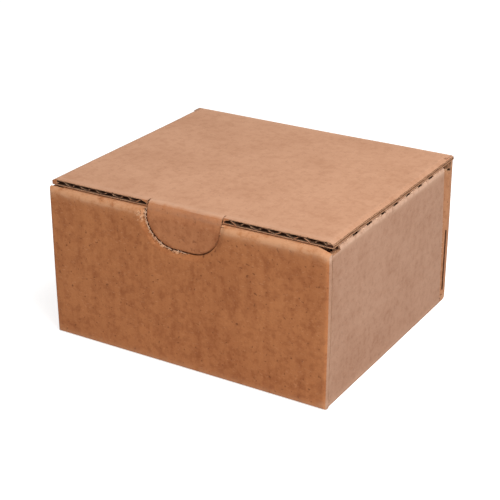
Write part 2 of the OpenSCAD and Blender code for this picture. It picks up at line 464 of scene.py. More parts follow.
class Groups:
    """Shader node groups that several finishes share."""

    def __init__(self) -> None:
        """Builds each group once."""
        self.paper = self._paper()
        self.section = self._section()

    @staticmethod
    def _new(name: str, inputs: list[tuple[str, str, Any]], outputs: list[tuple[str, str]]
             ) -> tuple[bpy.types.NodeTree, Bench, Any, Any]:
        """Starts a group.

        Args:
            name: The group's name.
            inputs: Name, socket type and default of each input.
            outputs: Name and socket type of each output.

        Returns:
            The group, a bench for it, its inputs' sockets and its output node's inputs.
        """
        tree = bpy.data.node_groups.new(name, "ShaderNodeTree")
        for label, kind, default in inputs:
            socket = tree.interface.new_socket(label, in_out="INPUT", socket_type=kind)
            socket.default_value = default
        for label, kind in outputs:
            tree.interface.new_socket(label, in_out="OUTPUT", socket_type=kind)
        bench = Bench(tree)
        return (tree, bench, bench.add("NodeGroupInput").outputs,
                bench.add("NodeGroupOutput").inputs)

    @staticmethod
    def _place(bench: Bench) -> bpy.types.NodeSocket:
        """The place on the piece, in millimetres."""
        here = bench.add("ShaderNodeTexCoord").outputs["Object"]
        return bench.add("ShaderNodeVectorMath", {0: here, "Scale": 1 / MM},
                         operation="SCALE").outputs[0]

    def _paper(self) -> bpy.types.NodeTree:
        """Brown liner paper: clouds, mottling, specks, flute lines, pale creases and tears, with
        painted shade on the tongue's turned fold and in small hollows of the torn rim.
        """
        shades = [("Colour", "NodeSocketColor", (0.5, 0.3, 0.2, 1)),
                  ("Dark", "NodeSocketColor", (0.4, 0.2, 0.1, 1)),
                  ("Pale", "NodeSocketColor", (0.7, 0.5, 0.3, 1)),
                  ("Turned Shade", "NodeSocketColor", (0.5, 0.3, 0.2, 1))]
        amounts = [(label, "NodeSocketFloat", 0.5)
                   for label in ("Clouds", "Mottle", "Fibres", "Specks", "Streaks", "Flutes")]
        tree, bench, given, out = self._new(
            "liner_paper", shades + amounts,
            [("Colour", "NodeSocketColor"), ("Height", "NodeSocketFloat")])
        place = self._place(bench)
        sheet = bench.add("ShaderNodeUVMap", uv_map="board").outputs[0]
        across = bench.add("ShaderNodeSeparateXYZ", {0: sheet}).outputs[0]
        clouds = bench.grain(place, 0.055, 3)
        mottle = bench.grain(place, 0.42, 5)
        fine = bench.grain(place, 1.3, 5)
        fibres = bench.grain(place, 2.4, 2, (0.35, 1.0, 1.0))
        lanes = bench.grain(sheet, 0.26, 4, (1.0, 0.09, 1.0))
        turn = bench.times(across, 2 * math.pi / Board().flute_pitch)
        wave = bench.maths("COSINE", bench.maths("ADD", turn, bench.times(clouds, 2.0)))
        dark = 0.0
        for pattern, start, end, amount in (
                (clouds, 0.35, 0.68, given["Clouds"]),
                (mottle, 0.44, 0.66, given["Mottle"]),
                (fine, 0.5, 0.72, bench.times(given["Mottle"], 0.75)),
                (lanes, 0.42, 0.68, given["Streaks"]),
                (wave, -0.2, 1.0, bench.times(given["Flutes"], 0.3))):
            dark = bench.maths("ADD", dark, bench.times(bench.ramp(pattern, start, end), amount))
        # Where the tongue's fold turns down, the lid's tone blends into the tongue's darker tone:
        # painted shade by facing.
        ground = bench.blend(bench.painted("over"), given["Colour"], given["Turned Shade"])
        tint = bench.blend(bench.maths("MINIMUM", dark, 1.0), ground, given["Dark"])
        hairs = bench.times(bench.ramp(fibres, 0.6, 0.74), given["Fibres"])
        tint = bench.blend(hairs, tint, given["Pale"])
        scatter = bench.grain(place, 0.75, 1)
        speck = bench.times(bench.ramp(scatter, 0.66, 0.74), given["Specks"])
        tint = bench.blend(speck, tint, bench.blend(0.45, given["Dark"], SPECK_AND_HOLLOW_SHADE))
        # Worn creases turn pale. On the flute finish the same mask keeps the flutes' mouths pale
        # and leaves deeper flute walls in their dark painted shade.
        fade = bench.maths("EXPONENT", bench.maths("DIVIDE", bench.painted("crease"), -0.75))
        rubbed_and_flute_shade = bench.maths("MULTIPLY", bench.times(fade, bench.painted("wear_and_flute_shade")),
                             bench.ramp(mottle, 0.2, 0.62), clamp=True)
        tint = bench.blend(rubbed_and_flute_shade, tint, given["Pale"])
        # Torn paper: pale shreds are its own fibres, and near-black spots are painted shade in its
        # small hollows and in the gap beside the tongue.
        torn = bench.painted("torn")
        shreds, pit_shade = bench.grain(place, 0.9, 4), bench.grain(place, 1.15, 3, (1.0, 1.0, 0.7))
        for pattern, lift, most, shade in ((shreds, 0.22, 1.0, given["Pale"]),
                                           (pit_shade, 0.15, 0.9, RIM_PIT_SHADE)):
            lifted = bench.maths("ADD", pattern, bench.times(torn, lift))
            spots = bench.times(bench.ramp(lifted, 0.68, 0.76), bench.ramp(torn, 0.05, 0.6))
            tint = bench.blend(bench.times(spots, most), tint, shade)
        height = bench.times(wave, bench.times(given["Flutes"], 0.5))
        for pattern, depth in ((mottle, 0.35), (fine, 0.25), (fibres, 0.2)):
            height = bench.maths("ADD", height, bench.times(pattern, depth))
        bench.tree.links.new(tint, out["Colour"])
        bench.tree.links.new(height, out["Height"])
        return tree

    def _section(self) -> bpy.types.NodeTree:
        """A cut through the board: two liners, and the fluted paper between them, with painted
        shade in the open flutes.
        """
        inputs = [("Paper", "NodeSocketColor", (0.6, 0.4, 0.3, 1)),
                  ("Hollow Shade", "NodeSocketColor", SPECK_AND_HOLLOW_SHADE),
                  ("Across Flutes", "NodeSocketFloat", 1.0)]
        tree, bench, given, out = self._new(
            "board_section", inputs,
            [("Colour", "NodeSocketColor"), ("Height", "NodeSocketFloat")])
        place = self._place(bench)
        uv = bench.add("ShaderNodeSeparateXYZ",
                       {0: bench.add("ShaderNodeUVMap", uv_map="board").outputs[0]})
        board = Board()
        along, depth = uv.outputs[0], uv.outputs[1]
        turn = bench.times(along, 2 * math.pi / board.flute_pitch)
        swing = (board.thickness - 2 * board.liner) / 2 - 0.2
        wander = bench.grain(place, 0.5, 2)
        wave = bench.times(bench.maths("COSINE", turn), given["Across Flutes"])
        wave = bench.maths("ADD", wave, bench.times(bench.maths("SUBTRACT", wander, 0.5), 1.6))
        middle = bench.maths("ADD", bench.times(wave, swing), board.thickness / 2)
        web = bench.maths("SUBTRACT", 1.0, bench.ramp(bench.maths(
            "ABSOLUTE", bench.maths("SUBTRACT", depth, middle)), 0.16, 0.36))
        rim = bench.maths("ABSOLUTE", bench.maths("SUBTRACT", depth, board.thickness / 2))
        liners = bench.ramp(rim, board.thickness / 2 - board.liner - 0.14,
                            board.thickness / 2 - board.liner + 0.04)
        solid = bench.maths("MAXIMUM", web, liners, clamp=True)
        fluff = bench.grain(place, 2.6, 4)
        solid = bench.times(solid, bench.ramp(fluff, 0.18, 0.5))
        # Where neither a web nor a liner stands, and where the fluff pattern breaks the paper, the
        # colour is painted shade of the open flutes on this flat face.
        bench.tree.links.new(bench.blend(solid, given["Hollow Shade"], given["Paper"]), out["Colour"])
        bench.tree.links.new(bench.maths("ADD", solid, bench.times(fluff, 0.3)), out["Height"])
        return tree


@dataclass(frozen=True)
class PaperLook:
    """Finish of a liner: its colours and how strongly each pattern shows. On the outer liner the
    base colour of each panel also holds painted light and shade.
    """

    base: Colour
    dark: Colour
    pale: Colour
    clouds: float = 0.25
    mottle: float = 0.3
    fibres: float = 0.25
    specks: float = 0.5
    streaks: float = 0.2
    flutes: float = 0.3
    roughness: float = 0.82
    bump: float = 0.25
    # The darker tone that the lid's turning fold blends into: painted shade.
    over: Colour | None = None

    def material(self, name: str, groups: Groups) -> bpy.types.Material:
        """Builds the material.

        Args:
            name: The material's name.
            groups: The shared shader groups.

        Returns:
            The material.
        """
        made, bench, shader = start_material(name, self.roughness)
        group = bench.add("ShaderNodeGroup", node_tree=groups.paper)
        values = {"Colour": self.base, "Dark": self.dark, "Pale": self.pale,
                  "Turned Shade": self.over or self.base,
                  "Clouds": self.clouds, "Mottle": self.mottle, "Fibres": self.fibres,
                  "Specks": self.specks, "Streaks": self.streaks, "Flutes": self.flutes}
        for label, value in values.items():
            group.inputs[label].default_value = value
        finish_material(bench, shader, group, self.bump, 0.12 * MM)
        return made


@dataclass(frozen=True)
class CutLook:
    """Finish of a raw cut edge of the board, with painted shade in its open flutes."""

    paper: Colour
    hollow_shade: Colour
    across_flutes: float
    roughness: float = 0.9
    bump: float = 0.8

    def material(self, name: str, groups: Groups) -> bpy.types.Material:
        """Builds the material.

        Args:
            name: The material's name.
            groups: The shared shader groups.

        Returns:
            The material.
        """
        made, bench, shader = start_material(name, self.roughness)
        group = bench.add("ShaderNodeGroup", node_tree=groups.section)
        group.inputs["Paper"].default_value = self.paper
        group.inputs["Hollow Shade"].default_value = self.hollow_shade
        group.inputs["Across Flutes"].default_value = self.across_flutes
        finish_material(bench, shader, group, self.bump, 0.3 * MM)
        return made


def start_material(name: str, roughness: float) -> tuple[bpy.types.Material, Bench, Any]:
    """Starts a matt paper material.

    Args:
        name: The material's name.
        roughness: Roughness of the paper.

    Returns:
        The material, a bench for its nodes and its shader.
    """
    made = bpy.data.materials.new(name)
    made.use_nodes = True
    made.node_tree.nodes.clear()
    bench = Bench(made.node_tree)
    shader = bench.add("ShaderNodeBsdfPrincipled",
                       {"Roughness": roughness, "Specular IOR Level": 0.25})
    bench.add("ShaderNodeOutputMaterial", {"Surface": shader.outputs[0]})
    return made, bench, shader


def finish_material(bench: Bench, shader: Any, group: Any, bump: float, distance: float) -> None:
    """Wires a group's colour and height into a shader.

    Args:
        bench: The material's bench.
        shader: The material's shader.
        group: The group node, with outputs Colour and Height.
        bump: Strength of the bump.
        distance: Height of the bump in metres.
    """
    node = bench.add("ShaderNodeBump", {"Strength": bump, "Distance": distance,
                                        "Height": group.outputs["Height"]})
    bench.tree.links.new(group.outputs["Colour"], shader.inputs["Base Color"])
    bench.tree.links.new(node.outputs[0], shader.inputs["Normal"])


LOOKS: dict[Finish, PaperLook | CutLook] = {
    # FRONT, SIDE, REAR, LID and TONGUE are the same outer liner. Their different colours are
    # painted light and shade: the lid lightest, the side paler and greyer, the front and tongue
    # darker and more orange, the rear in between.
    Finish.FRONT: PaperLook(colour(184, 118, 72), colour(146, 82, 44), colour(216, 162, 122),
                            clouds=0.24, mottle=0.4, fibres=0.28, specks=0.8, streaks=0.24,
                            flutes=0.16),
    Finish.SIDE: PaperLook(colour(182, 141, 116), colour(157, 113, 87), colour(214, 175, 149),
                           clouds=0.32, mottle=0.34, streaks=0.16, specks=0.25, flutes=0.1),
    Finish.REAR: PaperLook(colour(185, 131, 94), colour(153, 98, 65), colour(222, 180, 144),
                           mottle=0.34, streaks=0.15, flutes=0.1),
    Finish.LID: PaperLook(colour(205, 155, 123), colour(182, 131, 99), colour(228, 188, 160),
                          clouds=0.34, mottle=0.34, fibres=0.15, specks=0.25, streaks=0.08,
                          flutes=0.06, over=colour(186, 122, 80)),
    Finish.TONGUE: PaperLook(colour(186, 122, 80), colour(148, 86, 50), colour(208, 156, 122),
                             clouds=0.3, mottle=0.4, streaks=0.16, specks=0.5, flutes=0.1),
    Finish.UNDER: PaperLook(colour(194, 146, 112), colour(168, 116, 84), colour(216, 174, 142)),
    Finish.INSIDE: PaperLook(colour(190, 142, 106), colour(160, 110, 76), colour(214, 172, 138),
                             flutes=0.5),
    # The fluted paper's dark colours are painted shade inside the open flutes and the rear slit.
    # Its pale colour shows only at the flutes' mouths.
    Finish.FLUTE: PaperLook(colour(92, 54, 32), colour(60, 32, 18), colour(222, 182, 148),
                            specks=0.2, streaks=0.0, flutes=0.0),
    # The dark second colour of each cut edge is painted shade in its open flutes.
    Finish.CUT_ENDS: CutLook(colour(198, 150, 116), colour(70, 38, 22), 1.0),
    Finish.CUT_ALONG: CutLook(colour(186, 138, 104), colour(120, 76, 48), 0.15),
    Finish.RIM: PaperLook(colour(206, 155, 117), colour(138, 86, 54), colour(230, 188, 154),
                          mottle=0.8, fibres=0.4, specks=0.6, streaks=0.0, flutes=0.0),
    Finish.TORN: PaperLook(colour(232, 194, 164), colour(198, 150, 116), colour(246, 218, 194),
                           mottle=0.5, specks=0.0, streaks=0.0, flutes=0.0),
}


@dataclass
class BoardPiece:
    """A CAD solid of folded board, copied and dressed as paper."""

    node: str
    box: Box
    warp: Warp
    panels: list[Panel]
    folds: list[Fold]
    fluted: bool = False
    cell: float = 2.0
    fine_cell: float = 0.7
    fine_side: float = 17.0
    fine_low: float = 38.0
    fine_depth: float = 5.5
    ragged: float = 0.12
    ragged_wave: float = 1.7
    crush: float = 0.95
    crush_width: float = 1.9
    thinning: float = 0.8
    tongue_rest: float = 0.95
    tongue_foot: float = 8.0
    tongue_side: float = 0.5
    corner_drop: float = 1.1
    corner_across: float = 4.0
    corner_down: float = 6.0
    corner_rise: float = 1.5
    closing: float = 0.6
    sharp_angle: float = math.radians(32)

    def build(self, materials: dict[Finish, bpy.types.Material]) -> bpy.types.Object:
        """Builds the piece and puts it on its body.

        Args:
            materials: The material of each finish.

        Returns:
            The finished piece.
        """
        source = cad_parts[self.node]
        made = bmesh.new()
        made.from_mesh(source.data)
        bmesh.ops.scale(made, vec=(1 / MM,) * 3, verts=made.verts)
        bmesh.ops.remove_doubles(made, verts=made.verts, dist=0.002)
        bmesh.ops.dissolve_limit(made, angle_limit=math.radians(0.4), verts=made.verts,
                                 edges=made.edges)
        self.slice(made)
        self.sort_faces(made)
        self.shape(made)
        mesh = bpy.data.meshes.new(self.node + "_board")
        bmesh.ops.scale(made, vec=(MM,) * 3, verts=made.verts)
        made.to_mesh(mesh)
        made.free()
        for finish in Finish:
            mesh.materials.append(materials[finish])
        piece = bpy.data.objects.new(self.node + "_board", mesh)
        bpy.context.scene.collection.objects.link(piece)
        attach(piece, self.node)
        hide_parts(self.node)
        LOG.info("%s: %d faces", piece.name, len(mesh.polygons))
        return piece

    def slice(self, made: bmesh.types.BMesh) -> None:
        """Cuts the faces into cells, so that the board can wander and fray.

        Args:
            made: The piece's mesh in millimetres.
        """
        box = self.box
        places = [vert.co for vert in made.verts]
        for axis in Axis:
            low, high = min(p[axis] for p in places), max(p[axis] for p in places)
            count = max(1, round((high - low) / self.cell))
            for step in range(1, count):
                level = low + (high - low) * (step + 0.013) / count
                self.cut(made, made.verts[:] + made.edges[:] + made.faces[:], axis, level)
        reach = LidCrease.reach + 0.5
        for axis, low, high, near in (
                (Axis.X, -self.fine_side, self.fine_side, self.beside_notch),
                (Axis.Z, self.fine_low, box.lid_top - 0.7, self.beside_notch),
                (Axis.Y, box.back - box.board.thickness - reach, box.back - 1, self.near_crease),
                (Axis.Z, box.lid_low - reach, box.lid_low - 0.5, self.near_crease)):
            count = round((high - low) / self.fine_cell)
            for step in range(count + 1):
                faces = [face for face in made.faces if near(face.calc_center_median())]
                parts = dict.fromkeys(part for face in faces
                                      for part in (*face.verts, *face.edges))
                level = low + (high - low) * (step + 0.017) / count
                self.cut(made, [*faces, *parts], axis, level)

    @staticmethod
    def cut(made: bmesh.types.BMesh, parts: list[Any], axis: Axis, level: float) -> None:
        """Cuts part of a mesh along a plane, square to an axis."""
        normal = Vector((0, 0, 0))
        normal[axis] = 1
        bmesh.ops.bisect_plane(made, geom=parts, dist=0.001, plane_co=normal * level,
                               plane_no=normal)

    def beside_notch(self, point: Vector) -> bool:
        """Whether a face's centre lies on the front round the thumb notch."""
        return (point.y < self.box.front + self.fine_depth
                and abs(point.x) < self.fine_side + 1
                and self.fine_low - 1 < point.z < self.box.lid_top - 0.1)

    def near_crease(self, point: Vector) -> bool:
        """Whether a face's centre lies on the outer liner near the lid's crease."""
        box, far = self.box, 2 * LidCrease.reach
        return (point.y > box.back - far and point.z > box.top - far
                and (point.z > box.lid_top - 0.1 or point.y > box.back - 0.1))

    def finish_of(self, point: Vector, normal: Vector) -> tuple[Finish, Panel | None]:
        """Finds what a face is finished with.

        Args:
            point: The face's centre.
            normal: The face's normal.

        Returns:
            The finish, and the panel that the face belongs to.
        """
        holding = [panel for panel in self.panels if panel.holds(point)]
        # Faces in the rear slit take the dark flute colour, painted shade in the narrow slit.
        if self.in_slit(point) and abs(normal.y) > 0.7:
            return Finish.FLUTE, holding[0] if holding else None
        # The tongue's fold in front of the lid takes the tongue's darker tone, painted shade.
        if self.on_tongue_fold(point) and point.y < self.box.lid_front + 0.1:
            return Finish.TONGUE, None
        for panel in holding:
            side = panel.liner_side(point, normal)
            if side:
                return (panel.skin if side > 0 else Finish.INSIDE), panel
        for fold in self.folds:
            if fold.holds(point, normal):
                return fold.finish_for(normal), holding[0] if holding else None
        if not holding:
            return Finish.INSIDE, None
        panel = holding[0]
        if panel.skin == Finish.FRONT and abs(self.box.past_rim(point)) < 0.2:
            return (Finish.RIM if self.box.torn_rim(point) > 0.4 else Finish.FRONT), panel
        if abs(normal[panel.along]) > 0.6:
            return Finish.CUT_ENDS, panel
        at_side = abs(abs(point.x) - self.box.side) < 0.2
        if self.fluted and not at_side and not self.tongue_edge(point):
            return Finish.FLUTE, panel
        return Finish.CUT_ALONG, panel

    def in_slit(self, point: Vector) -> bool:
        """Whether a face of the tray lies in the torn slit beside a back corner."""
        box = self.box
        return (self.node == "tray" and abs(point.y - (box.back - box.board.thickness)) < 0.8
                and box.slit_low < point.z < box.slit_high
                and abs(point.x) > box.side - box.slit_width)

    def on_tongue_fold(self, point: Vector) -> bool:
        """Whether a point of the lid lies in the height and width of the tongue's fold."""
        box = self.box
        return (self.node == "lid" and abs(point.x) < box.notch_width / 2 - 0.5
                and point.y < box.front + box.tongue_set + box.board.thickness + 0.1
                and box.lid_low - 0.3 < point.z < box.lid_top + 0.1)

    def tongue_edge(self, point: Vector) -> bool:
        """Whether a face of the lid's board lies at the tongue's outer edge."""
        side = self.box.notch_width / 2
        return (abs(abs(point.x) - side) < self.tongue_side
                or point.z < self.box.lid_low - self.tongue_foot)

    def sort_faces(self, made: bmesh.types.BMesh) -> None:
        """Gives each face its material, its place on the sheet and its smoothing.

        Args:
            made: The piece's mesh in millimetres.
        """
        made.normal_update()
        order = list(Finish)
        uv = made.loops.layers.uv.new("board")
        for face in made.faces:
            finish, panel = self.finish_of(face.calc_center_median(), face.normal)
            face.material_index = order.index(finish)
            face.smooth = True
            for loop in face.loops:
                loop[uv].uv = self.sheet_place(loop.vert.co, finish, panel)
        for edge in made.edges:
            edge.smooth = len(edge.link_faces) == 2 and edge.calc_face_angle(0) < self.sharp_angle

    @staticmethod
    def sheet_place(point: Vector, finish: Finish, panel: Panel | None) -> tuple[float, float]:
        """A point's place on the sheet.

        Args:
            point: The point.
            finish: The finish of the face that it is a corner of.
            panel: The panel that the face belongs to.

        Returns:
            On a liner, the place across and along the flutes. On a cut edge, the place along
            the edge and the depth into the board.
        """
        if panel is None:
            return point.x, point.z
        if finish not in (Finish.CUT_ENDS, Finish.CUT_ALONG):
            if panel.skin == Finish.SIDE:
                return point.z - abs(point.x), point.y
            return point[panel.across], point[panel.along]
        edge = panel.across if finish == Finish.CUT_ENDS else panel.along
        return point[edge], point[panel.through] - panel.low[panel.through]

    def shape(self, made: bmesh.types.BMesh) -> None:
        """Marks the worn and torn places, frays the cut edges and warps the board.

        Args:
            made: The piece's mesh in millimetres.
        """
        order = list(Finish)
        cut = {order.index(Finish.CUT_ENDS), order.index(Finish.CUT_ALONG)}
        flute = order.index(Finish.FLUTE)
        marks = [made.verts.layers.float.new(name) for name in ("crease", "wear_and_flute_shade", "torn", "over")]
        moved: list[Vector] = []
        for vert in made.verts:
            in_flute = any(face.material_index == flute for face in vert.link_faces)
            for layer, value in zip(marks, self.marks_at(vert.co, in_flute)):
                vert[layer] = value
            point = vert.co.copy()
            edge_normals = [f.normal for f in vert.link_faces if f.material_index in cut]
            mean = sum(edge_normals, Vector((0, 0, 0)))
            if mean.length > 1e-6:
                bite = 0.5 + 0.5 * noise.noise(point / self.ragged_wave)
                point -= mean.normalized() * self.ragged * bite
            moved.append(self.warp.kept(self.warp.moved(self.settled(point, vert))))
        for vert, point in zip(made.verts, moved):
            vert.co = point

    def marks_at(self, point: Vector, in_flute: bool) -> tuple[float, float, float, float]:
        """What the shaders are told about a point of the board.

        Args:
            point: The point as drawn.
            in_flute: Whether it belongs to the open flutes.

        Returns:
            The distance to the nearest crease, how worn that crease is, how torn the paper is
            and how far the tongue's fold has turned over. On the open flutes the first two give the
            depth behind the cut edge and a full share, which sets where their painted shade begins.
        """
        box = self.box
        nearest = min(self.folds, key=lambda fold: fold.distance(point))
        crease, wear_and_flute_shade, torn, over = nearest.distance(point), nearest.wear_and_flute_shade, 0.0, 0.0
        # On the open flutes, crease holds the depth behind the cut edge, so the mouths stay pale
        # and deeper walls keep the dark colour that paints their shade.
        if in_flute and abs(point.x) > box.notch_width / 2 - 0.3:
            crease, wear_and_flute_shade = point.y - box.lid_front, 1.0
        elif self.node == "tray" and self.beside_notch(point):
            torn = box.torn_rim(point)
        # On the tongue's fold, the turned share rises as the rounding turns to face forward,
        # blending the lid's lighter tone into the tongue's darker tone: painted shade by facing.
        elif self.on_tongue_fold(point):
            drop = (box.lid_top - point.z) / box.board.thickness
            over = smooth_step(drop + 0.06 * noise.noise(point / 2.5), 0.01, 0.3)
        elif self.node == "lid" and point.z > box.lid_top - 0.2:
            edge = box.side - abs(point.x)
            if edge < crease:
                crease, wear_and_flute_shade = edge, 0.9
        return crease, wear_and_flute_shade, torn, over

    def settled(self, point: Vector, vert: bmesh.types.BMVert) -> Vector:
        """Where a point lies before the warp, on board that is pressed and pushed.

        The crease's liner sinks the board under it. The die crushes the notch's rim, and the
        tongue pushes forward into the notch.

        Args:
            point: The point.
            vert: The vertex that it belongs to.

        Returns:
            The point on the pressed board.
        """
        box, t = self.box, self.box.board.thickness
        point = point - vert.normal * crease_cover(box, point)
        if self.beside_notch(point):
            rim = box.past_rim(point)
            if self.node == "lid":
                point.y -= self.push(point) * smooth_step(rim, 0.62, -0.6)
            elif point.y < box.front + t / 2:
                uneven = 0.8 + 0.35 * noise.noise(point / 2.3)
                point.y += self.crush * uneven * smooth_step(rim, self.crush_width, 0.0)
            elif point.y < box.front + t + 0.3 and point.z < box.top - t + 0.1:
                point.y -= self.thinning * smooth_step(rim, self.crush_width, 0.2)
        return self.cornered(point) if self.node == "tray" else point

    def cornered(self, point: Vector) -> Vector:
        """Where a point of the tray's front corners lies on the folded box.

        The right one is pressed down, the left one's side panel stands higher, and both side
        panels lie close to the front wall.

        Args:
            point: The point as drawn.

        Returns:
            The point on the folded corner.
        """
        box, t = self.box, self.box.board.thickness
        behind = point.y - box.front
        if behind < t + 0.5:
            corner = smooth_step(point.x, box.side - self.corner_across, box.side)
            corner *= smooth_step(point.z, box.top - self.corner_down, box.top)
            point.z -= self.corner_drop * corner
        if t + 0.2 < behind < t + 1 and abs(point.x) > box.side - t - 0.1:
            point.y -= self.closing * (behind - t)
        off_edge = abs(point.z - (box.top - box.board.roll_radius))
        if behind > t + 0.1 and point.x < t + 0.1 - box.side and off_edge < 0.3:
            point.z += self.corner_rise * smooth_step(behind, box.roll_start + 0.1,
                                                      box.roll_start - 1.2)
        return point

    def push(self, point: Vector) -> float:
        """How far forward the tongue's middle is pushed at a point's height."""
        drop = self.box.lid_low - point.z
        leant = self.box.tongue_set + max(0.0, drop) * math.tan(self.box.tongue_lean)
        return (leant - self.tongue_rest) * smooth_step(drop, -1.7, 3.6)


def smooth_step(value: float, start: float, end: float) -> float:
    """A smooth step that rises from 0 at start to 1 at end."""
    share = min(1.0, max(0.0, (value - start) / (end - start)))
    return share * share * (3 - 2 * share)


def crease_cover(box: Box, point: Vector) -> float:
    """How far the board sinks under the liner that crosses the lid's crease.

    Args:
        box: The box's limits.
        point: A point of the board.

    Returns:
        The depth in millimetres, 0 away from the crease.
    """
    t, far = box.board.thickness, 2 * LidCrease.reach
    if (point.y < box.back - far or point.z < box.top - far
            or abs(point.x) > box.rear_side + 0.5):
        return 0.0
    run = (box.lid_low - point.z) if point.y > box.back - t - 0.5 else 0.0
    run = run if point.z < box.lid_low else (box.back - t - point.y)
    sides = smooth_step(abs(point.x), box.rear_side + 0.3, box.rear_side)
    return LidCrease.liner * smooth_step(run, LidCrease.reach, LidCrease.reach - 2.0) * sides


class LidCrease:
    """The outer liner that runs from the back wall over the crease onto the lid."""

    liner = 0.2
    reach = 4.0
    step = 0.4
    columns = 52
    arc_steps = 10
    sunk = 0.02
    wear_and_flute_shade = 0.35

    def __init__(self, box: Box, warp: Warp) -> None:
        """Keeps the box's limits and the board's unevenness."""
        self.box = box
        self.warp = warp

    def profile(self) -> list[tuple[Vector, Vector]]:
        """The liner's line from the back wall to the lid, as points with outward normals."""
        box, t = self.box, self.box.board.thickness
        line: list[tuple[Vector, Vector]] = []
        straight = round(self.reach / self.step)
        for i in range(straight):
            z = box.lid_low - self.reach + i * self.step
            line.append((Vector((0, box.back, z)), Vector((0, 1, 0))))
        for i in range(self.arc_steps + 1):
            turn = math.pi / 2 * i / self.arc_steps
            out = Vector((0, math.cos(turn), math.sin(turn)))
            line.append((Vector((0, box.back - t, box.lid_low)) + out * t, out))
        for i in range(1, straight + 1):
            line.append((Vector((0, box.back - t - i * self.step, box.lid_top)), Vector((0, 0, 1))))
        return line

    def skins(self, made: bmesh.types.BMesh) -> list[list[list[bmesh.types.BMVert]]]:
        """Lays the liner's outer and inner skin over the crease, row by row.

        Args:
            made: The mesh that the vertices go into.

        Returns:
            The rows of both skins. The inner one runs out into the outer one at both ends.
        """
        crease = made.verts.layers.float.new("crease")
        wear_and_flute_shade = made.verts.layers.float.new("wear_and_flute_shade")
        line, half = self.profile(), self.box.rear_side
        last = len(line) - 1
        both = []
        for inner in (0, 1):
            skin = []
            for i, (point, out) in enumerate(line):
                taper = min(1.0, min(i, last - i) / 4)
                depth = self.sunk + inner * (self.liner * taper * 0.85 + self.sunk)
                row = []
                for j in range(self.columns + 1):
                    x = -half + 2 * half * j / self.columns
                    place = point - out * depth + Vector((x, 0, 0))
                    vert = made.verts.new(self.warp.moved(place))
                    vert[crease] = max(0.0, abs(i - last / 2) * self.step - 2.2)
                    vert[wear_and_flute_shade] = self.wear_and_flute_shade
                    row.append(vert)
                skin.append(row)
            both.append(skin)
        return both

    def build(self, materials: dict[Finish, bpy.types.Material]) -> bpy.types.Object:
        """Builds the liner and bends it between the tray and the lid.

        Args:
            materials: The material of each finish.

        Returns:
            The finished piece.
        """
        made = bmesh.new()
        uv = made.loops.layers.uv.new("board")
        outer, inner = self.skins(made)
        for i in range(len(outer) - 1):
            for j in range(self.columns):
                made.faces.new((outer[i][j], outer[i][j + 1], outer[i + 1][j + 1], outer[i + 1][j]))
                made.faces.new((inner[i][j], inner[i + 1][j], inner[i + 1][j + 1], inner[i][j + 1]))
            for j in (0, self.columns):
                made.faces.new((outer[i][j], outer[i + 1][j], inner[i + 1][j], inner[i][j]))
        for j in range(self.columns):
            made.faces.new((outer[0][j], inner[0][j], inner[0][j + 1], outer[0][j + 1]))
            made.faces.new((outer[-1][j], outer[-1][j + 1], inner[-1][j + 1], inner[-1][j]))
        bmesh.ops.recalc_face_normals(made, faces=made.faces)
        fold_z = self.box.lid_low + 0.7 * self.box.board.thickness
        for face in made.faces:
            face.smooth = True
            # Below the fold the liner takes the rear's tone and above it the lid's lighter tone:
            # painted light and shade by facing.
            face.material_index = int(face.calc_center_median().z > fold_z)
            for loop in face.loops:
                loop[uv].uv = (loop.vert.co.x, loop.vert.co.y)
        bmesh.ops.scale(made, vec=(MM,) * 3, verts=made.verts)
        mesh = bpy.data.meshes.new("lid_crease")
        made.to_mesh(mesh)
        made.free()
        mesh.materials.append(materials[Finish.REAR])
        mesh.materials.append(materials[Finish.LID])
        piece = bpy.data.objects.new("lid_crease", mesh)
        bpy.context.scene.collection.objects.link(piece)
        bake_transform(piece)
        LOG.info("%s: %d faces", piece.name, len(mesh.polygons))
        return piece


@dataclass(frozen=True)
class Tear:
    """A line along a cut or torn edge, with the way that its fibres stand out."""

    start: Point
    end: Point
    out: Point

    def places(self, step: float = 0.6) -> list[Vector]:
        """Points along the line.

        Args:
            step: Distance between two points.

        Returns:
            The points in millimetres.
        """
        start, end = Vector(self.start), Vector(self.end)
        count = max(2, round((end - start).length / step))
        return [start.lerp(end, i / count) for i in range(count + 1)]


@dataclass(frozen=True)
class Growth:
    """One piece of torn fibres on the tray, with sizes in millimetres."""

    name: str
    tears: Callable[[Box], list[Tear]]
    seed: int = 0
    spacing: float = 0.4
    length: float = 0.9
    width: float = 0.22
    spread: float = 0.7


